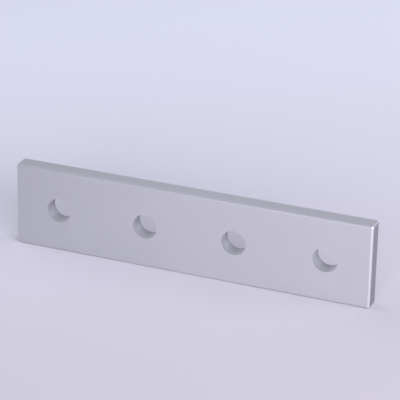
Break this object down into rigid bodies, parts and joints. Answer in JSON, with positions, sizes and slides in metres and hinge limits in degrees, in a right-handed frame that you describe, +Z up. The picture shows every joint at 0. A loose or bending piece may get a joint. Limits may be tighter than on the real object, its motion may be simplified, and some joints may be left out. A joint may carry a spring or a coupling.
{
  "type": "extrusion joining plate",
  "caption": "Flat anodised aluminium plate with a row of bolt holes, which joins two lengths of T-slot extrusion end to end.",
  "frame": {"origin": "middle of the long edge that the plate stands on", "axes": "+X along the row of holes, +Y through the thickness from the bolt-head face to the rail face, +Z up across the width"},
  "size_m": [0.1016, 0.0048, 0.0235],
  "materials": {
    "anodised_aluminium": "clear anodised over tumbled bar, satin"
  },
  "bodies": {
    "root": {"joining_plate": "anodised_aluminium"}
  },
  "joints": []
}
